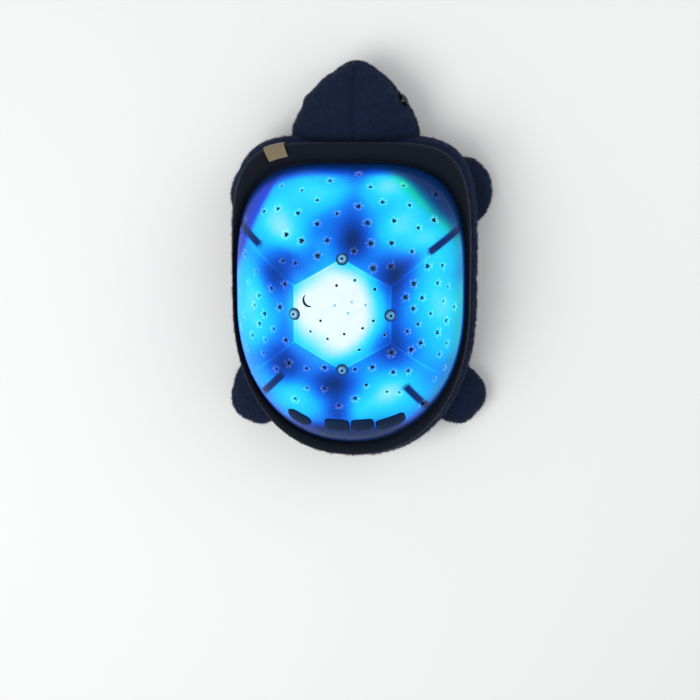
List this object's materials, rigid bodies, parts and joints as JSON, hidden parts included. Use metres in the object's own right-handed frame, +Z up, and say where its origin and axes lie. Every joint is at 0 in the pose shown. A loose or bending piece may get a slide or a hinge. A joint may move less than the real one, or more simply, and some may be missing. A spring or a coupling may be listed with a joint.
{
  "type": "star night light projector",
  "caption": "Plush turtle night light: stuffed body and padded collar around a lit, translucent, star-pierced shell, with press buttons near the tail and a battery door in the belly.",
  "frame": {"origin": "on the floor under the middle of the outline, midway between nose and tail", "axes": "+Z up from the soles, +Y towards the head, +X to the turtle's right"},
  "size_m": [0.2004, 0.2916, 0.1158],
  "materials": {
    "shell_plastic": "translucent, polished outside, pierced with stars",
    "stud_plastic": "clear, polished",
    "housing_plastic": "fine moulded texture",
    "screw_steel": "bright zinc plate",
    "cell_wrap": "printed film wrap, plain",
    "spring_steel": "nickel plate",
    "pedestal_plastic": "moulded white",
    "light_board_white": "white solder mask",
    "board_green": "green solder mask",
    "switch_plastic": "moulded",
    "red_lens": "clear tinted",
    "green_lens": "clear tinted",
    "blue_lens": "clear tinted",
    "button_plastic": "satin",
    "plush_navy": "short-pile plush",
    "collar_fabric": "smooth knitted velour",
    "eye_plastic": "polished",
    "label_cloth": "woven tape"
  },
  "bodies": {
    "body": {"shell_dome": "shell_plastic", "lens_studs": "stud_plastic", "base_housing": "housing_plastic", "button_carrier": "housing_plastic", "case_screws": "screw_steel", "battery_cells": "cell_wrap", "battery_springs": "spring_steel", "contact_plates": "spring_steel", "light_pedestal": "pedestal_plastic", "light_board": "light_board_white", "control_board": "board_green", "switches": "switch_plastic", "red_light": "red_lens", "green_light": "green_lens", "blue_light": "blue_lens", "body_plush": "plush_navy", "head_plush": "plush_navy", "front_left_foot": "plush_navy", "front_right_foot": "plush_navy", "rear_left_foot": "plush_navy", "rear_right_foot": "plush_navy", "collar": "collar_fabric", "left_eye": "eye_plastic", "right_eye": "eye_plastic", "care_label": "label_cloth"},
    "power_button": {"power_button": "button_plastic"},
    "red_button": {"red_button": "button_plastic"},
    "green_button": {"green_button": "button_plastic"},
    "blue_button": {"blue_button": "button_plastic"},
    "battery_door": {"battery_door": "housing_plastic", "door_screw": "screw_steel"}
  },
  "joints": [
    {"name": "power_button_press", "type": "slide", "parent": "body", "child": "power_button", "axis": [0, 0.6428, -0.766], "range_m": [0, 0.0012], "stiffness_N_per_m": 200, "springref_m": -0.004},
    {"name": "red_button_press", "type": "slide", "parent": "body", "child": "red_button", "axis": [0, 0.6428, -0.766], "range_m": [0, 0.0012], "stiffness_N_per_m": 200, "springref_m": -0.004},
    {"name": "green_button_press", "type": "slide", "parent": "body", "child": "green_button", "axis": [0, 0.6428, -0.766], "range_m": [0, 0.0012], "stiffness_N_per_m": 200, "springref_m": -0.004},
    {"name": "blue_button_press", "type": "slide", "parent": "body", "child": "blue_button", "axis": [0, 0.6428, -0.766], "range_m": [0, 0.0012], "stiffness_N_per_m": 200, "springref_m": -0.004},
    {"name": "battery_door_hinge", "type": "hinge", "parent": "body", "child": "battery_door", "pos_m": [0, 0.00074, 0.016], "axis": [1, 0, 0], "range_deg": [0, 90]}
  ]
}
